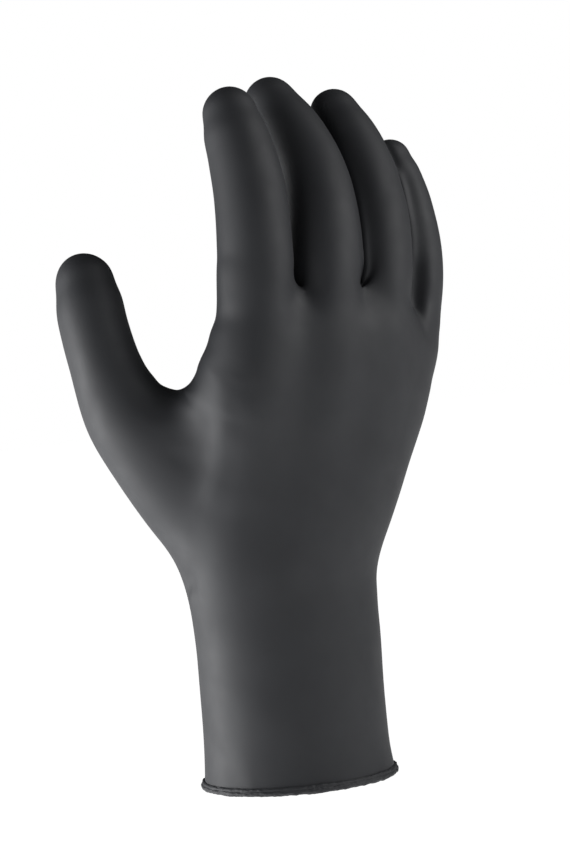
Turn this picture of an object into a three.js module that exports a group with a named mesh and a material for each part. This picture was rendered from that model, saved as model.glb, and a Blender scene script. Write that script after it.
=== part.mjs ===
// A nitrile exam glove, drawn over a relaxed right hand and keeping that hand's form.
// It is one dipped film: cuff, palm, thumb and four fingers share one wall, and the film's
// own rolled edge is the bead round the mouth of the cuff.
// Millimetres. The origin is the centre of the mouth, +Z runs up the cuff towards the fingers,
// the thumb lies towards -X, the back of the hand faces -Y and the palm faces +Y.
import * as THREE from "three";

// Film and bead.
const FILM = 1;
const BEAD_DIAMETER = 2.6;

// Cuff and wrist, both ovals.
const CUFF_LENGTH = 66;
const CUFF_WIDTH = 68;
const CUFF_DEPTH = 54;
const WRIST_WIDTH = 67;
const WRIST_DEPTH = 48;

// Palm, from the wrist up to the knuckles. Its width follows from the fingers.
const PALM_LENGTH = 80;
const PALM_DEPTH = 34;

// Fingers, from the knuckle to the tip.
const INDEX_LENGTH = 103.5;
const INDEX_WIDTH = 26;
const MIDDLE_LENGTH = 113.5;
const MIDDLE_WIDTH = 25.4;
const RING_LENGTH = 106;
const RING_WIDTH = 24;
const LITTLE_LENGTH = 88;
const LITTLE_WIDTH = 20.4;

// How the fingers lie. `up` is the knuckle's height as a share of the palm's length, and `arch` the
// slope of the step to it from the knuckle before. The three bones each lean towards +X by `fan` and
// towards the palm by `bend`. Angles are in degrees.
const FINGERS = [
  { length: INDEX_LENGTH, width: INDEX_WIDTH, up: 0.91, arch: 0, fan: [8, 6, 2.5], bend: [4, 17, 25] },
  { length: MIDDLE_LENGTH, width: MIDDLE_WIDTH, up: 0.92, arch: -2.5, fan: [14, 7, -8], bend: [8, 30, 38] },
  { length: RING_LENGTH, width: RING_WIDTH, up: 0.92, arch: 7.6, fan: [16.5, 7, -6], bend: [9, 25, 33] },
  { length: LITTLE_LENGTH, width: LITTLE_WIDTH, up: 0.85, arch: 25.6, fan: [18.5, 8, -3], bend: [6, 17, 21] },
];

// The step between two knuckles as a share of the mean of their fingers' widths, the palm's width as
// a share of the row of fingers, and the place of the first knuckle as shares of the palm.
const KNUCKLE_STEP = 0.912;
const PALM_SPREAD = 1.027;
const FIRST_KNUCKLE = { across: -0.142, back: -0.38 };

// Bones of a finger, as shares of its length.
const BONES = [0.42, 0.28, 0.3];

// Width of a finger along it, as a share of its own. It starts below the knuckle, in the hand.
const FINGER_WIDTHS = [
  { along: -0.6, width: 0.66 },
  { along: 0, width: 1 },
  { along: 0.33, width: 1.01 },
  { along: 0.56, width: 0.97 },
  { along: 0.79, width: 0.92 },
  { along: 0.91, width: 0.86 },
  { along: 1, width: 0.73 },
];

// Where the bones behind the knuckles start: how far apart, as a share of the knuckles' own spread,
// and how far back of the palm's middle, as a share of its depth.
const HAND_BONE_SPREAD = 0.62;
const HAND_BONE_BACK = 0.1;

// The film lies straight across from knuckle to knuckle, on a ridge: where it starts and ends as
// shares of the way between the outer two, its height as a share of the palm's depth, and its depth
// as a share of each finger's width.
const KNUCKLE_RIDGE = { from: 0, to: 0.78, tall: 1.7, deep: 0.93 };

// Thumb, from the wrist to the tip: places from the middle of the wrist as shares of its length, and
// its width as a share of its own.
const THUMB_LENGTH = 124;
const THUMB_WIDTH = 25;
const THUMB_AXIS = [
  { across: -0.07, back: 0.016, up: 0.06, width: 1.15 },
  { across: -0.16, back: 0.045, up: 0.15, width: 1.2 },
  { across: -0.263, back: 0.09, up: 0.32, width: 1.3 },
  { across: -0.355, back: 0.125, up: 0.47, width: 1.18 },
  { across: -0.408, back: 0.155, up: 0.61, width: 1.04 },
  { across: -0.425, back: 0.185, up: 0.72, width: 1.01 },
  { across: -0.424, back: 0.215, up: 0.81, width: 0.98 },
  { across: -0.42, back: 0.24, up: 0.875, width: 0.86 },
];

// Sections of the cuff, wrist and palm. `up` is a share of the zone's length, `width` and `depth` are
// shares of the zone's own, and `across` and `back` shift the centre by shares of the palm's.
const SLEEVE = [
  { zone: "cuff", up: 0, width: 1, depth: 1, across: 0, back: 0 },
  { zone: "cuff", up: 0.15, width: 0.985, depth: 0.98, across: 0, back: 0 },
  { zone: "cuff", up: 0.7, width: 0.98, depth: 0.93, across: 0.002, back: 0 },
  { zone: "wrist", up: 0, width: 1.015, depth: 1, across: -0.002, back: 0 },
  { zone: "palm", up: 0.175, width: 0.74, depth: 1.36, across: 0.024, back: -0.06 },
  { zone: "palm", up: 0.36, width: 0.79, depth: 1.28, across: 0.067, back: -0.12 },
  { zone: "palm", up: 0.55, width: 0.845, depth: 1.14, across: 0.112, back: -0.19 },
  { zone: "palm", up: 0.74, width: 0.89, depth: 0.98, across: 0.158, back: -0.25 },
  { zone: "palm", up: 0.925, width: 0.88, depth: 0.82, across: 0.21, back: -0.27 },
  { zone: "palm", up: 1.05, width: 0.82, depth: 0.66, across: 0.245, back: -0.24 },
];

// Gaps beside the fingers, from the index finger's thumb side on. A bar of skin lies under them: `up`
// is its top as a share of the palm's length, and `tall` and `deep` are shares of the palm's depth.
const GAPS = [
  { up: 1.26, tall: 0.47, deep: 0.56 },
  { up: 1.28, tall: 0.47, deep: 0.56 },
  { up: 1.255, tall: 0.47, deep: 0.56 },
  { up: 1.14, tall: 0.47, deep: 0.54 },
  { up: 1.05, tall: 0.4, deep: 0.44 },
];

// The web from the thumb to the index finger: its ends as shares of the way along those two, how far
// it stops short of the finger's axis, and its height and depth as shares of the palm's depth.
const THUMB_WEB = { thumb: 0.58, finger: 0.4, short: 0.24, tall: 0.33, deep: 0.36 };

// Sag of the web at shares of the way across, as a share of the palm's depth.
const THUMB_WEB_SAG = [
  { across: 0.3, sag: 0.16 },
  { across: 0.7, sag: 0.17 },
];

// How softly one form runs into the next: the width of the blend. In the hand it is that of the
// bones under the skin, and it narrows to that of the fingers over a stretch of the palm's length.
const BLEND_HAND = 10;
const BLEND_FINGERS = 2.2;
const BLEND_THUMB_WEB = 24;
const BLEND_THUMB = 14;
const BLEND_FROM = 1.02;
const BLEND_TO = 1.3;

// Lattice of the surface: quads across each finger's back, across each edge, and along each form.
const BACK_QUADS = 4;
const EDGE_QUADS = 4;
const HAND_ROWS = 24;
const FINGER_ROWS = 11;
const THUMB_ROWS = 10;
const THUMB_ROOT_ROWS = 6;
const THUMB_ROOT_HEIGHT = 0.24;
const DOME_ROWS = 2;
const DOME_ANGLE = 25;
const BEAD_STEPS = 9;
const RELAX_ROUNDS = 24;
const ROW_CROWDING = 0.8;
const LIMB_STEPS = 14;
const FINGER_STEPS = 20;
const WEB_STEPS = 16;

const FINGER_COUNT = FINGERS.length;
const FINGER_ROW = FINGERS.reduce((sum, { width }) => sum + width, 0);
const PALM_WIDTH = PALM_SPREAD * KNUCKLE_STEP * FINGER_ROW;
const HAND_SIDES = 2 * (FINGER_COUNT * BACK_QUADS + EDGE_QUADS);
const ACROSS = new THREE.Vector3(1, 0, 0);
const DEEP = new THREE.Vector3(0, 1, 0);
const UP = new THREE.Vector3(0, 0, 1);

const ZONES = {
  cuff: { from: 0, length: CUFF_LENGTH, width: CUFF_WIDTH, depth: CUFF_DEPTH },
  wrist: { from: CUFF_LENGTH, length: 0, width: WRIST_WIDTH, depth: WRIST_DEPTH },
  palm: { from: CUFF_LENGTH, length: PALM_LENGTH, width: PALM_WIDTH, depth: PALM_DEPTH },
};

const radians = THREE.MathUtils.degToRad;
const { lerp, clamp, smoothstep } = THREE.MathUtils;

// Value of a table's column at a place along it, on a smooth curve through the rows.
function valueAt(rows, column, along) {
  const last = rows.length - 1;
  const above = rows.findIndex((row) => row.along > along);
  const n = above < 0 ? last - 1 : Math.max(above - 1, 0);
  const slope = (row) => {
    const [from, to] = [rows[Math.max(row - 1, 0)], rows[Math.min(row + 1, last)]];
    return (to[column] - from[column]) / (to.along - from.along);
  };
  const step = rows[n + 1].along - rows[n].along;
  const t = clamp((along - rows[n].along) / step, 0, 1);
  const straight = lerp(rows[n][column], rows[n + 1][column], t * t * (3 - 2 * t));
  return straight + step * t * (1 - t) * ((1 - t) * slope(n) - t * slope(n + 1));
}

// A limb is a list of stations along a smooth axis. Each has a centre, the half-width `a` and the
// half-depth `b` of its oval section, and the two directions that they are measured in.
function makeLimb(centres, halfAt, reference, steps = LIMB_STEPS) {
  const axis = new THREE.CatmullRomCurve3(centres, false, "centripetal");
  const stations = [];
  for (let step = 0; step <= steps; step++) {
    const share = step / steps;
    const along = axis.getTangentAt(share).normalize();
    const across = reference.clone().addScaledVector(along, -reference.dot(along)).normalize();
    const deep = along.clone().cross(across);
    const [a, b] = halfAt(share);
    stations.push({ centre: axis.getPointAt(share), along, across, deep, a, b });
  }
  return stations;
}

// Signed distance from a limb's skin, below zero inside it. Pieces too far off to matter are skipped.
function limbDistance(limb, point, enough) {
  let nearest = enough;
  for (let n = 0; n < limb.length - 1; n++) {
    const low = limb[n];
    const high = limb[n + 1];
    const dx = high.centre.x - low.centre.x;
    const dy = high.centre.y - low.centre.y;
    const dz = high.centre.z - low.centre.z;
    const px = point.x - low.centre.x;
    const py = point.y - low.centre.y;
    const pz = point.z - low.centre.z;
    const share = (px * dx + py * dy + pz * dz) / (dx * dx + dy * dy + dz * dz);
    const t = Math.min(1, Math.max(0, share));
    const x = px - dx * t;
    const y = py - dy * t;
    const z = pz - dz * t;
    const length = Math.hypot(x, y, z);
    const a = low.a + (high.a - low.a) * t;
    const b = low.b + (high.b - low.b) * t;
    if (length - Math.max(a, b) > nearest) continue;
    const along = (x * low.along.x + y * low.along.y + z * low.along.z) / Math.min(a, b);
    const across = (x * low.across.x + y * low.across.y + z * low.across.z) / a;
    const deep = (x * low.deep.x + y * low.deep.y + z * low.deep.z) / b;
    const scaled = Math.hypot(across, deep, along);
    const distance = scaled > 1e-6 ? length * (1 - 1 / scaled) : -Math.min(a, b);
    nearest = Math.min(nearest, distance);
  }
  return nearest;
}

// The lesser of two distances, rounded off over the width of the blend.
function softLeast(first, second, blend) {
  const overlap = Math.max(blend - Math.abs(first - second), 0) / blend;
  return Math.min(first, second) - (overlap * overlap * blend) / 4;
}

// Sections of the sleeve in millimetres.
const sections = SLEEVE.map((row) => {
  const zone = ZONES[row.zone];
  return {
    along: zone.from + row.up * zone.length,
    x: row.across * PALM_WIDTH,
    y: row.back * PALM_DEPTH,
    a: (row.width * zone.width) / 2,
    b: (row.depth * zone.depth) / 2,
  };
});
const SLEEVE_TOP = sections.at(-1).along;

// The sleeve's section at a height.
function sleeveAt(height) {
  const [x, y, a, b] = ["x", "y", "a", "b"].map((column) => valueAt(sections, column, height));
  return { centre: new THREE.Vector3(x, y, height), a, b };
}

function makeSleeve() {
  const steps = 2 * LIMB_STEPS;
  return Array.from({ length: steps + 1 }, (_, step) => {
    const { centre, a, b } = sleeveAt((SLEEVE_TOP * step) / steps);
    return { centre, along: UP, across: ACROSS, deep: DEEP, a, b };
  });
}

// Knuckles, each a step on from the one before.
function makeKnuckles() {
  const { across, back } = FIRST_KNUCKLE;
  const knuckle = new THREE.Vector3(across * PALM_WIDTH, back * PALM_DEPTH, 0);
  return FINGERS.map(({ width, arch, up }, n) => {
    if (n > 0) {
      const step = (KNUCKLE_STEP * (width + FINGERS[n - 1].width)) / 2;
      knuckle.x += step * Math.cos(radians(arch));
      knuckle.y += step * Math.sin(radians(arch));
    }
    return knuckle.clone().setZ(CUFF_LENGTH + up * PALM_LENGTH);
  });
}

// A finger starts inside the hand, some way below its knuckle.
function makeFinger(finger, knuckle) {
  const below = -FINGER_WIDTHS[0].along * finger.length;
  const root = sleeveAt(knuckle.z - below).centre;
  root.x += HAND_BONE_SPREAD * (knuckle.x - sleeveAt(knuckle.z).centre.x);
  root.y -= HAND_BONE_BACK * PALM_DEPTH;
  const halfWidth = finger.width / 2;
  const tip = halfWidth * FINGER_WIDTHS.at(-1).width;
  const centres = [root, root.clone().lerp(knuckle, 0.5), knuckle];
  BONES.forEach((share, bone) => {
    const fan = radians(finger.fan[bone]);
    const bend = radians(finger.bend[bone]);
    const reach = share * finger.length - (bone === BONES.length - 1 ? tip : 0);
    const way = new THREE.Vector3(0, Math.sin(bend), Math.cos(bend)).multiplyScalar(Math.cos(fan));
    way.x = Math.sin(fan);
    centres.push(centres.at(-1).clone().addScaledVector(way, reach));
  });
  const halfAt = (share) => {
    const along = lerp(FINGER_WIDTHS[0].along, 1, share);
    const half = halfWidth * valueAt(FINGER_WIDTHS, "width", along);
    return [half, half];
  };
  return makeLimb(centres, halfAt, ACROSS, FINGER_STEPS);
}

function makeThumb() {
  const wrist = sleeveAt(CUFF_LENGTH).centre;
  const centres = THUMB_AXIS.map(({ across, back, up }) =>
    new THREE.Vector3(across, back, up).multiplyScalar(THUMB_LENGTH).add(wrist),
  );
  const lengths = centres.map((centre, n) => (n ? centre.distanceTo(centres[n - 1]) : 0));
  const total = lengths.reduce((sum, length) => sum + length);
  let run = 0;
  const rows = THUMB_AXIS.map(({ width }, n) => {
    run += lengths[n];
    return { along: run / total, width };
  });
  const halfAt = (along) => {
    const half = (THUMB_WIDTH / 2) * valueAt(rows, "width", along);
    return [half, half];
  };
  return makeLimb(centres, halfAt, ACROSS);
}

function stationAtHeight(limb, height) {
  const n = limb.findIndex((station) => station.centre.z > height);
  const [low, high] = [limb[n - 1].centre.z, limb[n].centre.z];
  return stationAt(limb, n - 1 + (height - low) / (high - low));
}

// A gap's centre is half way between its fingers at its own height, or beside the outer finger.
function makeGap({ up, tall, deep }, n) {
  const height = CUFF_LENGTH + up * PALM_LENGTH - (tall * PALM_DEPTH) / 2;
  const neighbours = [fingers[n - 1], fingers[n]].filter(Boolean);
  const beside = neighbours.map((limb) => stationAtHeight(limb, height));
  const centre = beside[0].centre.clone().lerp(beside.at(-1).centre, 0.5);
  return { centre, half: beside[0].a, tall: (tall * PALM_DEPTH) / 2, deep: (deep * PALM_DEPTH) / 2 };
}

function makeKnuckleRidge() {
  const table = FINGERS.map(({ width }, n) => ({ along: n / (FINGER_COUNT - 1), width }));
  const { from, to, tall, deep } = KNUCKLE_RIDGE;
  const halfAt = (share) => {
    const width = valueAt(table, "width", lerp(from, to, share));
    return [(tall * PALM_DEPTH) / 2, (deep * width) / 2];
  };
  const axis = new THREE.CatmullRomCurve3(knuckles);
  const centres = FINGERS.map((_, n) => axis.getPoint(lerp(from, to, n / (FINGER_COUNT - 1))));
  return makeLimb(centres, halfAt, UP, WEB_STEPS);
}

function makeFingerWebs() {
  const table = gaps.map(({ tall, deep }, n) => ({ along: n / (gaps.length - 1), tall, deep }));
  const halfAt = (along) => [valueAt(table, "tall", along), valueAt(table, "deep", along)];
  return makeLimb(gaps.map(({ centre }) => centre), halfAt, UP, WEB_STEPS);
}

function makeThumbWeb() {
  const from = stationAt(thumb, THUMB_WEB.thumb * LIMB_STEPS).centre;
  const to = stationAt(fingers[0], THUMB_WEB.finger * FINGER_STEPS).centre;
  to.lerp(from, THUMB_WEB.short);
  const low = THUMB_WEB_SAG.map(({ across, sag }) =>
    from.clone().lerp(to, across).addScaledVector(UP, -sag * PALM_DEPTH),
  );
  const half = [(THUMB_WEB.tall * PALM_DEPTH) / 2, (THUMB_WEB.deep * PALM_DEPTH) / 2];
  return makeLimb([from, ...low, to], () => half, UP, WEB_STEPS);
}

const sleeve = makeSleeve();
const knuckles = makeKnuckles();
const fingers = FINGERS.map((finger, n) => makeFinger(finger, knuckles[n]));
const gaps = GAPS.map(makeGap);
const knuckleRidge = makeKnuckleRidge();
const fingerWebs = makeFingerWebs();
const thumb = makeThumb();
const thumbWeb = makeThumbWeb();

// Signed distance from the whole hand. Neighbouring forms blend softly in the palm, where the bones
// make ridges, and stay crisp between the fingers.
function handDistance(point) {
  const rise = smoothstep((point.z - CUFF_LENGTH) / PALM_LENGTH, BLEND_FROM, BLEND_TO);
  const blend = lerp(BLEND_HAND, BLEND_FINGERS, rise);
  const most = PALM_WIDTH;
  let distance = limbDistance(sleeve, point, most);
  for (const limb of [knuckleRidge, fingerWebs, ...fingers]) {
    distance = softLeast(distance, limbDistance(limb, point, most), blend);
  }
  distance = softLeast(distance, limbDistance(thumbWeb, point, most), BLEND_THUMB_WEB);
  return softLeast(distance, limbDistance(thumb, point, most), BLEND_THUMB);
}

const PROBE = 0.15;

// The way out of the surface at a point, of about unit length.
function outward(point, here = handDistance(point)) {
  const way = new THREE.Vector3();
  for (const name of ["x", "y", "z"]) {
    const kept = point[name];
    point[name] = kept + PROBE;
    way[name] = (handDistance(point) - here) / PROBE;
    point[name] = kept;
  }
  return way;
}

// Moves a point on to the surface.
function settle(point, rounds) {
  for (let round = 0; round < rounds; round++) {
    const here = handDistance(point);
    if (Math.abs(here) < 0.01) return;
    const way = outward(point, here);
    point.addScaledVector(way, -clamp(here / Math.max(way.lengthSq(), 0.1), -8, 8));
  }
}

// Angle round an oval section for each side: even steps over the back and front, and over each edge.
function sectionAngles(backQuads, edgeHalfAngle) {
  const stretches = [
    { quads: backQuads, from: 180 + edgeHalfAngle, to: 360 - edgeHalfAngle },
    { quads: EDGE_QUADS, from: 360 - edgeHalfAngle, to: 360 + edgeHalfAngle },
    { quads: backQuads, from: 360 + edgeHalfAngle, to: 540 - edgeHalfAngle },
    { quads: EDGE_QUADS, from: 540 - edgeHalfAngle, to: 540 + edgeHalfAngle },
  ];
  return stretches.flatMap(({ quads, from, to }) =>
    Array.from({ length: quads }, (_, n) => radians(lerp(from, to, n / quads))),
  );
}

function ringAt(station, angles) {
  return angles.map((angle) =>
    station.centre
      .clone()
      .addScaledVector(station.across, station.a * Math.cos(angle))
      .addScaledVector(station.deep, station.b * Math.sin(angle)),
  );
}

// A limb's station at a place between two of its own, and on past the end over the rounded tip.
function stationAt(limb, at) {
  const n = Math.min(Math.floor(at), limb.length - 2);
  const [low, high] = [limb[n], limb[n + 1]];
  const t = Math.min(at - n, 1);
  const a = lerp(low.a, high.a, t);
  const b = lerp(low.b, high.b, t);
  return { ...low, centre: low.centre.clone().lerp(high.centre, t), a, b };
}

// A point round the outer side of an end gap.
function roundEnd({ centre, half }, degrees) {
  const angle = radians(degrees);
  const way = new THREE.Vector3(Math.cos(angle), Math.sin(angle), 0);
  return centre.clone().addScaledVector(way, half);
}

function domeAt(limb, angle) {
  const end = limb.at(-1);
  const centre = end.centre.clone().addScaledVector(end.along, end.a * Math.sin(angle));
  return { ...end, centre, a: end.a * Math.cos(angle), b: end.b * Math.cos(angle) };
}

const steps = (count) => Array.from({ length: count }, (_, n) => n);

// Rings of a limb from a place on, over most of the rounded tip.
function limbStations(limb, start, rows) {
  const straight = Array.from({ length: rows }, (_, row) =>
    stationAt(limb, lerp(start, limb.length - 1, row / (rows - 1))),
  );
  const dome = steps(DOME_ROWS).map((row) => domeAt(limb, radians(DOME_ANGLE * (row + 1))));
  return [...straight, ...dome];
}

// The surface as a list of points and of quads, each an array of four point numbers facing out.
function makeSurface() {
  const points = [];
  const quads = [];
  const add = (point) => points.push(point) - 1;
  const joinRings = (low, high) => {
    low.forEach((corner, n) => {
      const next = (n + 1) % low.length;
      quads.push([corner, low[next], high[next], high[n]]);
    });
  };

  const backColumns = FINGER_COUNT * BACK_QUADS;
  const topAt = (column) => {
    const n = Math.min(Math.floor(column / BACK_QUADS), FINGER_COUNT - 1);
    const t = column / BACK_QUADS - n;
    return gaps[n].centre.clone().lerp(gaps[n + 1].centre, t);
  };

  // The sleeve's upper edge: under the fingers' backs, round the little finger, under their fronts
  // and round the index finger.
  const top = [];
  for (let n = 0; n < backColumns; n++) top.push(topAt(n).addScaledVector(DEEP, -gaps[0].half));
  for (let n = 0; n < EDGE_QUADS; n++) top.push(roundEnd(gaps.at(-1), lerp(-90, 90, n / EDGE_QUADS)));
  for (let n = backColumns; n > 0; n--) top.push(topAt(n).addScaledVector(DEEP, gaps[0].half));
  for (let n = 0; n < EDGE_QUADS; n++) top.push(roundEnd(gaps[0], lerp(90, 270, n / EDGE_QUADS)));

  // Cuff and palm, ring over ring, with a hole left for the thumb. The sides start even at the mouth
  // and gather under the fingers at the top.
  const angles = sectionAngles(backColumns, 32);
  const heightAt = (row, n) => lerp(BEAD_DIAMETER, top[n].z, (row / HAND_ROWS) ** ROW_CROWDING);
  const thumbFloor = CUFF_LENGTH + THUMB_ROOT_HEIGHT * PALM_LENGTH;
  const thumbRow = steps(HAND_ROWS).find((row) => heightAt(row, 0) > thumbFloor);
  const topRow = thumbRow + THUMB_ROOT_ROWS;
  const holeLeft = HAND_SIDES - EDGE_QUADS;
  const rings = steps(HAND_ROWS + 1).map((row) =>
    angles.map((angle, n) => {
      if (n > holeLeft && row > thumbRow && row < topRow) return null;
      const height = heightAt(row, n);
      const { centre, a, b } = sleeveAt(Math.min(height, SLEEVE_TOP));
      centre.x += a * Math.cos(angle);
      centre.y += b * Math.sin(angle);
      centre.z = height;
      return add(centre.lerp(top[n].clone().setZ(height), smoothstep(row / HAND_ROWS, 0.3, 1)));
    }),
  );
  for (let row = 0; row < HAND_ROWS; row++) {
    for (let n = 0; n < HAND_SIDES; n++) {
      if (n >= holeLeft && row >= thumbRow && row < topRow) continue;
      const next = (n + 1) % HAND_SIDES;
      quads.push([rings[row][n], rings[row][next], rings[row + 1][next], rings[row + 1][n]]);
    }
  }

  // Webs: a short row of points from the back to the front between neighbouring fingers.
  const last = rings[HAND_ROWS];
  const frontOf = (column) => last[(2 * backColumns + EDGE_QUADS - column) % HAND_SIDES];
  const webs = [];
  for (let web = 0; web <= FINGER_COUNT; web++) {
    const column = web * BACK_QUADS;
    const line = [last[column]];
    for (let n = 1; n < EDGE_QUADS; n++) {
      if (web === 0) line.push(last[HAND_SIDES - n]);
      else if (web === FINGER_COUNT) line.push(last[column + n]);
      else {
        const share = n / EDGE_QUADS;
        const point = points[last[column]].clone().lerp(points[frontOf(column)], share);
        point.z += gaps[web].tall * Math.sin(Math.PI * share);
        line.push(add(point));
      }
    }
    line.push(frontOf(column));
    webs.push(line);
  }

  // Fingers, each from its back, one web, its front and the other web, up to a rounded tip.
  const fingerAngles = sectionAngles(BACK_QUADS, 45);
  fingers.forEach((limb, f) => {
    const back = last.slice(f * BACK_QUADS, (f + 1) * BACK_QUADS);
    const outer = webs[f + 1].slice(0, -1);
    const front = Array.from({ length: BACK_QUADS }, (_, n) => frontOf((f + 1) * BACK_QUADS - n));
    const inner = webs[f].slice(1).reverse();
    const level = Math.max(gaps[f].centre.z + gaps[f].tall, gaps[f + 1].centre.z + gaps[f + 1].tall);
    const start = limb.findIndex((station) => station.centre.z > level);
    let ring = [...back, ...outer, ...front, ...inner];
    for (const station of limbStations(limb, start, FINGER_ROWS)) {
      const next = ringAt(station, fingerAngles).map(add);
      joinRings(ring, next);
      ring = next;
    }
    closeTip(ring, limb.at(-1), BACK_QUADS);
  });

  // Thumb, from the hole in the palm's edge. Its first rings lean to meet the hole.
  const corner = (row, n) => rings[row][(holeLeft + n) % HAND_SIDES];
  let ring = [
    ...steps(EDGE_QUADS).map((n) => corner(topRow, n)),
    ...steps(THUMB_ROOT_ROWS).map((n) => corner(topRow - n, EDGE_QUADS)),
    ...steps(EDGE_QUADS).map((n) => corner(thumbRow, EDGE_QUADS - n)),
    ...steps(THUMB_ROOT_ROWS).map((n) => corner(thumbRow + n, 0)),
  ];
  const stations = limbStations(thumb, LIMB_STEPS * 0.5, THUMB_ROWS);
  stations.forEach((station, row) => {
    const lean = 0.9 * Math.max(0, 1 - row / 5);
    const next = steps(ring.length).map((n) => {
      const angle = radians((360 * n) / ring.length - (180 * EDGE_QUADS) / ring.length);
      const point = station.centre.clone();
      point.addScaledVector(station.along, lean * station.a * Math.cos(angle));
      point.addScaledVector(station.across, station.a * Math.cos(angle));
      return add(point.addScaledVector(station.deep, -station.b * Math.sin(angle)));
    });
    joinRings(next, ring);
    ring = next;
  });
  closeTip([...ring].reverse(), thumb.at(-1), THUMB_ROOT_ROWS);

  // A patch of quads over the end of a limb.
  function closeTip(ring, station, size) {
    const other = ring.length / 2 - size;
    const grid = Array.from({ length: other + 1 }, () => new Array(size + 1));
    ring.forEach((corner, n) => {
      if (n <= size) grid[0][n] = corner;
      else if (n <= size + other) grid[n - size][size] = corner;
      else if (n <= 2 * size + other) grid[other][2 * size + other - n] = corner;
      else grid[ring.length - n][0] = corner;
    });
    for (let r = 1; r < other; r++) {
      for (let c = 1; c < size; c++) {
        const across = points[grid[r][0]].clone().lerp(points[grid[r][size]], c / size);
        const deep = points[grid[0][c]].clone().lerp(points[grid[other][c]], r / other);
        grid[r][c] = add(across.lerp(deep, 0.5).addScaledVector(station.along, station.a * 0.3));
      }
    }
    for (let r = 0; r < other; r++) {
      for (let c = 0; c < size; c++) {
        quads.push([grid[r][c], grid[r][c + 1], grid[r + 1][c + 1], grid[r + 1][c]]);
      }
    }
  }

  return { points, quads, rim: rings[0] };
}

// Evens out the lattice along the surface, and keeps it on the surface. The rim keeps its height.
function relax(surface) {
  const { points, quads, rim } = surface;
  const neighbours = points.map(() => new Set());
  for (const quad of quads) {
    quad.forEach((corner, n) => {
      const next = quad[(n + 1) % 4];
      neighbours[corner].add(next);
      neighbours[next].add(corner);
    });
  }
  const onRim = new Set(rim);
  for (let n = 0; n < points.length; n++) {
    if (!onRim.has(n)) settle(points[n], 6);
  }
  for (let round = 0; round < RELAX_ROUNDS; round++) {
    const moved = points.map((point, n) => {
      const middle = new THREE.Vector3();
      neighbours[n].forEach((other) => middle.add(points[other]));
      middle.divideScalar(neighbours[n].size).sub(point).multiplyScalar(0.5);
      return point.clone().add(middle);
    });
    moved.forEach((point, n) => {
      if (!onRim.has(n)) {
        settle(point, 2);
        points[n].copy(point);
      }
    });
  }
  for (const n of rim) {
    const height = points[n].z;
    for (let round = 0; round < 8; round++) {
      const way = outward(points[n]);
      way.z = 0;
      points[n].addScaledVector(way, -handDistance(points[n]) / way.lengthSq());
      points[n].z = height;
    }
  }
}

// The film: the surface, the same surface a wall's thickness further in, and the bead between them.
function makeGlove() {
  const surface = makeSurface();
  relax(surface);
  const { points, quads, rim } = surface;
  const positions = points.flatMap((point) => point.toArray());
  const triangles = [];
  const cornerAt = (n) => new THREE.Vector3().fromArray(positions, 3 * n);
  // A quad is cut along its shorter diagonal.
  const addQuad = ([a, b, c, d]) => {
    const straight = cornerAt(a).distanceTo(cornerAt(c)) <= cornerAt(b).distanceTo(cornerAt(d));
    if (straight) triangles.push(a, b, c, a, c, d);
    else triangles.push(b, c, d, b, d, a);
  };
  quads.forEach(addQuad);
  const inner = points.length;
  const onRim = new Set(rim);
  points.forEach((point, n) => {
    const way = outward(point);
    if (onRim.has(n)) way.z = 0;
    way.normalize();
    positions.push(...point.clone().addScaledVector(way, -FILM).toArray());
  });
  quads.forEach(([a, b, c, d]) => addQuad([inner + d, inner + c, inner + b, inner + a]));

  const radius = BEAD_DIAMETER / 2;
  const centreOut = radius - FILM;
  const startAngle = Math.acos(clamp(-centreOut / radius, -1, 1));
  let ring = rim;
  for (let step = 1; step <= BEAD_STEPS; step++) {
    const angle = lerp(startAngle, -Math.PI, step / (BEAD_STEPS + 1));
    const next = rim.map((n) => {
      const way = outward(points[n]).setZ(0).normalize();
      const place = points[n].clone().addScaledVector(way, centreOut + radius * Math.cos(angle));
      place.z = radius + radius * Math.sin(angle);
      positions.push(...place.toArray());
      return positions.length / 3 - 1;
    });
    ring.forEach((corner, n) => {
      const after = (n + 1) % ring.length;
      addQuad([next[n], next[after], ring[after], corner]);
    });
    ring = next;
  }
  const last = rim.map((n) => inner + n);
  ring.forEach((corner, n) => {
    const after = (n + 1) % ring.length;
    addQuad([last[n], last[after], ring[after], corner]);
  });

  const geometry = new THREE.BufferGeometry();
  geometry.setAttribute("position", new THREE.Float32BufferAttribute(positions, 3));
  geometry.setIndex(triangles);
  geometry.computeVertexNormals();
  return geometry;
}

const nitrile = new THREE.MeshStandardMaterial({ color: 0x3b3d40, roughness: 0.5, metalness: 0 });
const glove = new THREE.Mesh(makeGlove(), nitrile);
glove.name = "glove";

const group = new THREE.Group();
group.add(glove);
export default group;
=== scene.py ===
import math

import bmesh
import bpy
import numpy as np
from mathutils import Matrix, Vector, noise


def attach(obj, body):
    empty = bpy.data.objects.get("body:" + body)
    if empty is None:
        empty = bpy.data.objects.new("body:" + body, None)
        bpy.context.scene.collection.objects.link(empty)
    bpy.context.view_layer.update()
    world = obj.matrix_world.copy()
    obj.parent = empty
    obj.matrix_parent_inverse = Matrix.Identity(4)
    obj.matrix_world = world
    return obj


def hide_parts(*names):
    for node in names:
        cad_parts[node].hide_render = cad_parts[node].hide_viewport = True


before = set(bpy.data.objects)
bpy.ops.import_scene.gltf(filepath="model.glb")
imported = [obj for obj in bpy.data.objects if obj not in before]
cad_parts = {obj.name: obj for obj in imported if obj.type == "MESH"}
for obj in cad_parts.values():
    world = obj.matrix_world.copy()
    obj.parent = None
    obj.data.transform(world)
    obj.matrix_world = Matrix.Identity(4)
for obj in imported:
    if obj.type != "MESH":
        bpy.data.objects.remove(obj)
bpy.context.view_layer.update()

MM = 0.001

# Sizes of the part's cuff and bead.
CUFF_WIDTH = 68 * MM
CUFF_DEPTH = 54 * MM
BEAD_RADIUS = 1.3 * MM

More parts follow.
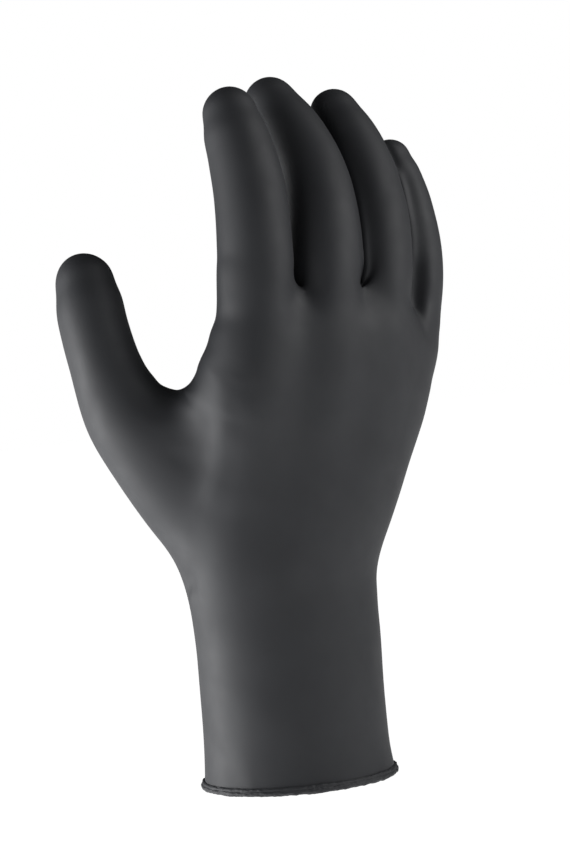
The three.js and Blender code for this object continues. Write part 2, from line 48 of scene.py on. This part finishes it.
# How the part's triangles become a smooth skin: points this close are one, two triangles join into a quad
# up to these angles, and each round brings the skin nearer to the part's points by this share of its miss.
MERGE_WITHIN = 0.01 * MM
FACE_ANGLE = math.radians(80)
SHAPE_ANGLE = math.radians(120)
SWELL_ROUNDS = 6
SWELL_SHARE = 0.9
REFINE_LEVELS = 2

# Folds in the film: lines over its skin in millimetres, how far the skin moves there and which way, and
# how wide the fold is.
FOLDS = [
    # The ridge along the index finger's bone, sharp towards the thumb and broad towards the back.
    {"line": [(-29, -19.2, 137), (-29.4, -17.9, 126), (-30.0, -13.8, 112), (-33.2, -9.5, 94)],
     "way": (-0.55, -0.83, 0), "move": 0.9, "wide": 4},
    {"line": [(-23, -22.5, 140), (-24, -19.5, 124), (-25.5, -16, 108), (-28, -12, 92)],
     "way": (-0.5, -0.87, 0), "move": 1.5, "wide": 9},
    # The edge of the film from the index finger down into the thumb web.
    {"line": [(-24.5, -11, 182), (-24.8, -11, 171), (-25.4, -12, 160)],
     "way": (-0.97, -0.2, 0), "move": 1, "wide": 10},
    {"line": [(-26, -4, 158), (-29.5, -3, 147), (-34, 0, 136)],
     "way": (0.9, 0.1, -0.4), "move": 1.5, "wide": 10},
    # The little finger's side of the knuckles.
    {"line": [(59, -8, 153), (57, -6, 142), (53, -4, 131)],
     "way": (-1, 0.2, 0), "move": 1.5, "wide": 8},
    # The outer side of the thumb.
    {"line": [(-62, 33, 192), (-66, 32, 174), (-65, 28, 158), (-57, 17, 138)],
     "way": (0.87, -0.5, 0), "move": 1.4, "wide": 12},
    # The bottoms of the finger webs.
    {"line": [(4, -18, 171), (3.6, -5, 171)], "way": (0, 0.2, -1), "move": 6.2, "wide": 6},
    {"line": [(29.5, -18, 172), (28.8, -4, 172)], "way": (0, 0.2, -1), "move": 7.2, "wide": 7},
    {"line": [(49, -13, 161), (50, -2, 162)], "way": (0, 0.2, -1), "move": 5.6, "wide": 6.5},
    # The crease along the ring finger, down to the knuckles.
    {"line": [(59.5, -8, 178), (57.4, -9.5, 165), (53, -14.5, 151)],
     "way": (0.2, 1, 0), "move": 2, "wide": 3},
    # Creases on the thumb's side of the wrist.
    {"line": [(-36.2, 2, 76), (-35.3, 3, 71.5), (-34.4, 4.4, 67)],
     "way": (0.98, 0, 0), "move": 1, "wide": 1.7},
    {"line": [(-36.3, -1.5, 78), (-35.6, -0.6, 73), (-34.8, 0.6, 68.5)],
     "way": (0.97, 0.2, 0), "move": 1, "wide": 1.7},
    {"line": [(-34.6, 1.2, 71), (-33.7, 3.5, 66), (-33.2, 5, 61.5)],
     "way": (-0.98, 0, 0), "move": 0.8, "wide": 1.7},
    # A dent where the hand meets the wrist on the other side.
    {"line": [(36, -5, 76), (36.2, -4, 71)],
     "way": (-0.95, 0.3, 0), "move": 0.9, "wide": 2.6},
]

# A fold keeps this share of its strength at its line's ends, and fades over this share of the line.
FOLD_END = 0.25
FOLD_FADE = 0.25

# Long shallow waves in the film: size and height in millimetres. They grow from nothing at the mouth to
# their full height a little above it.
WAVES = [
    {"size": 38, "tall": 0.7},
    {"size": 15, "tall": 0.16},
]

# Where the noise for the waves' x, y and z is taken from, in wave sizes.
WAVE_PLACES = [Vector((3.7, 9.1, 5.3)), Vector((21.4, 2.6, 14.8)), Vector((8.2, 17.5, 30.9))]
WAVES_FULL_AT = 12 * MM

# The cuff flares and hangs a little lower over its last stretch, most of all on the side away from the
# thumb. In millimetres: how far out on the thumb's side and on the far side, how far down on the far side,
# and the height over which both fade.
FLARE = {"near": 0.1, "far": 1.3, "drop": 1.5, "tall": 7}
FLARE_TOP = 20 * MM

# The plain rim that the rolled bead covers: its top in millimetres, and how much of it is drawn in.
RIM_TOP = 2.7
RIM_DRAWN_IN = 0.75

# Places where the skin is evened out: centre and radius in millimetres. Each round smooths, then swells.
EVENED = [
    {"middle": (-27, -10, 157), "radius": 30},
    {"middle": (-44, 18, 165), "radius": 34},
]
EVENING_STEPS = (0.5, -0.52)
EVENING_ROUNDS = 30

# The rolled bead in millimetres: the least reach of its section, how far the section sits in from the
# cuff's skin, the height whose flare it follows, and its two lobes. Its thickness changes slowly, and it
# has short wrinkles, which a finer copy of themselves roughens.
BEAD_SIDES = 36
BEAD_STEPS = 900
BEAD_CORE = 0.3
BEAD_INSET = 0.1
BEAD_FLARES_AS = 1
BEAD_LOBES = [
    {"out": 0.05, "up": 0.68, "radius": 0.74},
    {"out": 0.2, "up": -0.42, "radius": 0.98},
]
BEAD_SWELL = {"size": 14, "share": 0.1}
BEAD_WRINKLES = {"size": 2.6, "turns": 2.2, "tall": 0.26, "finer": 2.4, "finer_share": 0.7}

# Satin nitrile: its darkest and palest tint, its least and greatest roughness, how much it shines, and its
# patches and grain, with sizes in millimetres. The noise that spreads them lies mostly in this range.
DARK_TINT = (0.0160, 0.0169, 0.0195, 1)
PALE_TINT = (0.0207, 0.0218, 0.0248, 1)
ROUGHNESS = (0.58, 0.66)
SHINE = 0.36
TINT_PATCH = {"size": 24, "detail": 3}
ROUGHNESS_PATCH = {"size": 9, "detail": 4}
GRAIN = {"size": 0.5, "detail": 2, "tall": 0.08, "strength": 0.12}
NOISE_RANGE = (0.3, 0.7)

# The soft boxes stand round this point. Their azimuth is in degrees, counted as the camera's is, and their
# height, distance and size are in metres.
LIT_POINT = Vector((0.01, 0, 0.13))
SOFT_BOXES = [
    {"name": "left_box", "azimuth": -114, "height": -0.14, "distance": 0.77,
     "size": (0.6, 0.8), "watts": 12.3},
    {"name": "fill_box", "azimuth": -75, "height": 0.2, "distance": 0.78,
     "size": (0.5, 0.5), "watts": 1.5},
    {"name": "right_box", "azimuth": 54, "height": 0.42, "distance": 0.7,
     "size": (0.6, 0.7), "watts": 5},
]

# The floor's height and half its width in metres, and how much it glows. The world is bright to the camera
# and dim as a light.
WHITE = (1, 1, 1, 1)
FLOOR_TINT = (0.9, 0.9, 0.9, 1)
FLOOR_HEIGHT = -0.6
FLOOR_REACH = 9
FLOOR_GLOW = 1.0
WORLD_SEEN = 1.0
WORLD_LIGHT = 0.05

# Camera: the photo's view of the glove, 30 degrees round towards the thumb and a little above, with
# the cuff leaning slightly in the picture.
CAMERA_AZIMUTH = math.radians(-30)
CAMERA_ELEVATION = math.radians(4.2)
CAMERA_ROLL = math.radians(4.4)
CAMERA_DISTANCE = 1.0
PICTURE_HEIGHT = 0.2967
MOUTH_RIGHT = 4.83 * MM
MOUTH_DOWN = 119.7 * MM
SENSOR = 36


def make_camera():
    a, e, roll = CAMERA_AZIMUTH, CAMERA_ELEVATION, CAMERA_ROLL
    forward = Vector((-math.sin(a) * math.cos(e), math.cos(a) * math.cos(e), -math.sin(e)))
    level = Vector((math.cos(a), math.sin(a), 0))
    upright = level.cross(forward)
    right = level * math.cos(roll) - upright * math.sin(roll)
    up = level * math.sin(roll) + upright * math.cos(roll)
    place = -(right * MOUTH_RIGHT - up * MOUTH_DOWN + forward * CAMERA_DISTANCE)
    data = bpy.data.cameras.new("camera")
    data.sensor_width = SENSOR
    data.lens = SENSOR * CAMERA_DISTANCE / PICTURE_HEIGHT
    camera = bpy.data.objects.new("camera", data)
    turn = Matrix((right, up, -forward)).transposed()
    camera.matrix_world = Matrix.Translation(place) @ turn.to_4x4()
    bpy.context.scene.collection.objects.link(camera)
    bpy.context.scene.camera = camera


# Film: the part's own lattice, turned back into quads and refined.

def quad_cage(source):
    """The lattice of a triangulated mesh as points and quads."""
    cage = bmesh.new()
    cage.from_mesh(source.data)
    bmesh.ops.remove_doubles(cage, verts=cage.verts, dist=MERGE_WITHIN)
    bmesh.ops.join_triangles(
        cage,
        faces=cage.faces,
        angle_face_threshold=FACE_ANGLE,
        angle_shape_threshold=SHAPE_ANGLE,
    )
    cage.verts.ensure_lookup_table()
    points = np.array([v.co for v in cage.verts])
    faces = [[v.index for v in face.verts] for face in cage.faces]
    cage.free()
    return points, faces


def limit_points(points, faces):
    """Where each point of a cage ends up on its smooth surface."""
    count = len(points)
    valence = np.zeros(count)
    across = np.zeros((count, 3))
    edges = set()
    for face in faces:
        for n, corner in enumerate(face):
            after = face[(n + 1) % len(face)]
            edges.add((min(corner, after), max(corner, after)))
            valence[corner] += 1
            if len(face) == 4:
                across[corner] += points[face[(n + 2) % 4]]
            else:
                across[corner] += points[after] + points[face[n - 1]] - points[corner]
    pairs = np.array(sorted(edges))
    beside = np.zeros((count, 3))
    np.add.at(beside, pairs[:, 0], points[pairs[:, 1]])
    np.add.at(beside, pairs[:, 1], points[pairs[:, 0]])
    edges_at = valence[:, None]
    return (edges_at * edges_at * points + 4 * beside + across) / (edges_at * (edges_at + 5))


def swollen(points, faces):
    """A cage whose smooth surface passes through the given points."""
    cage = points.copy()
    for _ in range(SWELL_ROUNDS):
        cage += SWELL_SHARE * (points - limit_points(cage, faces))
    return cage


def make_mesh(name, points, faces):
    mesh = bpy.data.meshes.new(name)
    mesh.from_pydata([tuple(p) for p in points], [], faces)
    mesh.update()
    thing = bpy.data.objects.new(name, mesh)
    bpy.context.scene.collection.objects.link(thing)
    return thing


def apply_modifiers(thing):
    graph = bpy.context.evaluated_depsgraph_get()
    done = bpy.data.meshes.new_from_object(thing.evaluated_get(graph))
    thing.modifiers.clear()
    thing.data = done


def coordinates(mesh):
    flat = np.empty(3 * len(mesh.vertices))
    mesh.vertices.foreach_get("co", flat)
    return flat.reshape(-1, 3)


def fold_moves(points, fold):
    """How far a fold moves each point: most on its line, and next to nothing a few widths off."""
    line = np.array(fold["line"]) * MM
    nearest = np.full(len(points), np.inf)
    along = np.zeros(len(points))
    lengths = np.linalg.norm(np.diff(line, axis=0), axis=1)
    run = 0.0
    for start, end, length in zip(line[:-1], line[1:], lengths):
        way = (end - start) / length
        share = np.clip((points - start) @ way, 0, length)
        off = np.linalg.norm(points - start - share[:, None] * way, axis=1)
        closer = off < nearest
        nearest[closer] = off[closer]
        along[closer] = (run + share[closer]) / lengths.sum()
        run += length
    fade = np.clip(np.minimum(along, 1 - along) / FOLD_FADE, 0, 1)
    fade = FOLD_END + (1 - FOLD_END) * fade * fade * (3 - 2 * fade)
    strength = fade * np.exp(-((nearest / (fold["wide"] * MM)) ** 2))
    way = np.array(fold["way"]) / np.linalg.norm(fold["way"])
    return strength[:, None] * way * fold["move"] * MM


def wave_moves(points, wave):
    """Slow waves, so wide that both faces of the film move alike. The mouth keeps its place."""
    size = wave["size"] * MM
    places = [Vector(p) / size for p in points]
    moves = np.array([[noise.noise(place + shift) for shift in WAVE_PLACES] for place in places])
    growth = np.clip(points[:, 2:] / WAVES_FULL_AT, 0, 1)
    return growth * moves * wave["tall"] * MM


def flare_at(turn, height):
    """How far the cuff's skin stands out and hangs down near the mouth, in millimetres."""
    far = 0.5 + 0.5 * np.cos(turn)
    fade = np.exp(-((height / FLARE["tall"]) ** 2))
    return (FLARE["near"] + (FLARE["far"] - FLARE["near"]) * far) * fade, FLARE["drop"] * far * fade


def even_out(points, mesh):
    """Smooths the skin near some places, without shrinking it."""
    pairs = np.empty(2 * len(mesh.edges), dtype=int)
    mesh.edges.foreach_get("vertices", pairs)
    ends, others = pairs.reshape(-1, 2).T
    both, beside = np.concatenate([ends, others]), np.concatenate([others, ends])
    count = np.bincount(both, minlength=len(points))
    weight = np.zeros(len(points))
    for place in EVENED:
        off = np.linalg.norm(points - np.array(place["middle"]) * MM, axis=1)
        weight = np.maximum(weight, np.clip(2 - 2 * off / (place["radius"] * MM), 0, 1))
    done = points.copy()
    for step in EVENING_STEPS * EVENING_ROUNDS:
        middle = [np.bincount(both, done[beside, axis], len(points)) / count for axis in range(3)]
        done += step * weight[:, None] * (np.stack(middle, -1) - done)
    return done


def mouth_moves(points):
    """The flare of the cuff, with the plain rim drawn in under the rolled bead."""
    x, y, height = points[:, 0] / CUFF_WIDTH, points[:, 1] / CUFF_DEPTH, points[:, 2] / MM
    turn = np.arctan2(y, x)
    out = np.stack([np.cos(turn) / CUFF_WIDTH, np.sin(turn) / CUFF_DEPTH, 0 * turn], -1)
    out /= np.linalg.norm(out, axis=1)[:, None]
    skin = np.stack([np.cos(turn) * CUFF_WIDTH / 2, np.sin(turn) * CUFF_DEPTH / 2, points[:, 2]], -1)
    over = np.clip(((points - skin) * out).sum(1), 0, None) * (height < RIM_TOP)
    flare, drop = flare_at(turn, height)
    moves = (flare * MM - RIM_DRAWN_IN * over)[:, None] * out
    moves[:, 2] -= drop * MM
    return moves


def make_film():
    points, faces = quad_cage(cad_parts["glove"])
    film = make_mesh("film", swollen(points, faces), faces)
    refine = film.modifiers.new("refine", "SUBSURF")
    refine.levels = REFINE_LEVELS
    refine.render_levels = REFINE_LEVELS
    apply_modifiers(film)
    skin = coordinates(film.data)
    moved = skin.copy()
    for fold in FOLDS:
        moved += fold_moves(skin, fold)
    moved = even_out(moved, film.data)
    for wave in WAVES:
        moved += wave_moves(skin, wave)
    cuff = skin[:, 2] < FLARE_TOP
    moved[cuff] += mouth_moves(skin[cuff])
    film.data.vertices.foreach_set("co", moved.ravel())
    film.data.polygons.foreach_set("use_smooth", [True] * len(film.data.polygons))
    film.data.update()
    return film


# Bead: the film rolled up on itself, in two lobes with short wrinkles.

def lobe_reach(angle):
    """Distance from the bead's middle to the outside of its lobes, in millimetres."""
    reach = BEAD_CORE
    for lobe in BEAD_LOBES:
        along = lobe["out"] * math.cos(angle) + lobe["up"] * math.sin(angle)
        off = lobe["out"] ** 2 + lobe["up"] ** 2 - along * along
        inside = lobe["radius"] ** 2 - off
        if inside > 0:
            reach = max(reach, along + math.sqrt(inside))
    return reach


def make_bead():
    wrinkles = BEAD_WRINKLES
    sections = [lobe_reach(2 * math.pi * side / BEAD_SIDES) for side in range(BEAD_SIDES)]
    points = []
    for step in range(BEAD_STEPS):
        turn = 2 * math.pi * step / BEAD_STEPS
        middle = Vector((math.cos(turn) * CUFF_WIDTH / 2, math.sin(turn) * CUFF_DEPTH / 2, 0))
        out = Vector((math.cos(turn) / CUFF_WIDTH, math.sin(turn) / CUFF_DEPTH, 0)).normalized()
        swell = 1 + BEAD_SWELL["share"] * noise.noise(middle / (BEAD_SWELL["size"] * MM))
        flare, drop = flare_at(turn, BEAD_FLARES_AS)
        for side in range(BEAD_SIDES):
            angle = 2 * math.pi * side / BEAD_SIDES
            place = middle / (wrinkles["size"] * MM) + Vector((0, 0, wrinkles["turns"] * math.sin(angle)))
            finer = noise.noise(place * wrinkles["finer"])
            wrinkle = noise.noise(place) + wrinkles["finer_share"] * finer
            reach = sections[side] * swell + wrinkles["tall"] * wrinkle
            up = BEAD_RADIUS + (reach * math.sin(angle) - drop) * MM
            away = (flare - BEAD_INSET + reach * math.cos(angle)) * MM
            points.append(middle + out * away + Vector((0, 0, up)))
    faces = []
    for step in range(BEAD_STEPS):
        for side in range(BEAD_SIDES):
            a, b = step * BEAD_SIDES, (step + 1) % BEAD_STEPS * BEAD_SIDES
            after = (side + 1) % BEAD_SIDES
            faces.append([a + side, b + side, b + after, a + after])
    bead = make_mesh("bead", points, faces)
    bead.data.polygons.foreach_set("use_smooth", [True] * len(faces))
    return bead


# Material: satin nitrile, with a fine grain and faint cloudy patches.

def make_nitrile():
    material = bpy.data.materials.new("nitrile")
    material.use_nodes = True
    nodes, links = material.node_tree.nodes, material.node_tree.links
    shader = nodes["Principled BSDF"]
    place = nodes.new("ShaderNodeTexCoord").outputs["Object"]

    def cloud(pattern):
        texture = nodes.new("ShaderNodeTexNoise")
        texture.inputs["Scale"].default_value = 1 / (pattern["size"] * MM)
        texture.inputs["Detail"].default_value = pattern["detail"]
        links.new(place, texture.inputs["Vector"])
        return texture.outputs["Fac"]

    def spread(value, low, high):
        ramp = nodes.new("ShaderNodeMapRange")
        ramp.inputs["From Min"].default_value = NOISE_RANGE[0]
        ramp.inputs["From Max"].default_value = NOISE_RANGE[1]
        ramp.inputs["To Min"].default_value = low
        ramp.inputs["To Max"].default_value = high
        links.new(value, ramp.inputs["Value"])
        return ramp.outputs["Result"]

    tint = nodes.new("ShaderNodeMix")
    tint.data_type = "RGBA"
    links.new(spread(cloud(TINT_PATCH), 0, 1), tint.inputs["Factor"])
    tint.inputs["A"].default_value = DARK_TINT
    tint.inputs["B"].default_value = PALE_TINT
    links.new(tint.outputs["Result"], shader.inputs["Base Color"])
    links.new(spread(cloud(ROUGHNESS_PATCH), *ROUGHNESS), shader.inputs["Roughness"])
    shader.inputs["Specular IOR Level"].default_value = SHINE
    grain = nodes.new("ShaderNodeBump")
    grain.inputs["Strength"].default_value = GRAIN["strength"]
    grain.inputs["Distance"].default_value = GRAIN["tall"] * MM
    links.new(cloud(GRAIN), grain.inputs["Height"])
    links.new(grain.outputs["Normal"], shader.inputs["Normal"])
    return material


# Stage: a plain pale floor far below, and light from soft boxes.

def add_softbox(box):
    a = math.radians(box["azimuth"])
    data = bpy.data.lights.new(box["name"], "AREA")
    data.shape = "RECTANGLE"
    data.size, data.size_y = box["size"]
    data.energy = box["watts"]
    lamp = bpy.data.objects.new(box["name"], data)
    distance = box["distance"]
    lamp.location = LIT_POINT + Vector((math.sin(a) * distance, -math.cos(a) * distance, box["height"]))
    lamp.rotation_mode = "QUATERNION"
    lamp.rotation_quaternion = (LIT_POINT - lamp.location).to_track_quat("-Z", "Y")
    bpy.context.scene.collection.objects.link(lamp)


def make_floor():
    signs = [(-1, -1), (1, -1), (1, 1), (-1, 1)]
    corners = [(x * FLOOR_REACH, y * FLOOR_REACH, FLOOR_HEIGHT) for x, y in signs]
    floor = make_mesh("floor", corners, [[0, 1, 2, 3]])
    pale = bpy.data.materials.new("pale_floor")
    pale.use_nodes = True
    shader = pale.node_tree.nodes["Principled BSDF"]
    shader.inputs["Base Color"].default_value = FLOOR_TINT
    shader.inputs["Emission Color"].default_value = WHITE
    shader.inputs["Emission Strength"].default_value = FLOOR_GLOW
    floor.data.materials.append(pale)


def make_world():
    """White where the camera looks past the glove, and dim as a light."""
    world = bpy.data.worlds.new("world")
    world.use_nodes = True
    nodes, links = world.node_tree.nodes, world.node_tree.links
    seen = nodes.new("ShaderNodeLightPath").outputs["Is Camera Ray"]
    level = nodes.new("ShaderNodeMapRange")
    level.inputs["To Min"].default_value = WORLD_LIGHT
    level.inputs["To Max"].default_value = WORLD_SEEN
    links.new(seen, level.inputs["Value"])
    background = nodes["Background"]
    background.inputs["Color"].default_value = WHITE
    links.new(level.outputs["Result"], background.inputs["Strength"])
    bpy.context.scene.world = world
    bpy.context.scene.view_settings.view_transform = "Standard"


make_camera()
nitrile = make_nitrile()
for piece in (make_film(), make_bead()):
    piece.data.materials.clear()
    piece.data.materials.append(nitrile)
    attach(piece, "root")
    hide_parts("glove")
make_floor()
make_world()
for box in SOFT_BOXES:
    add_softbox(box)
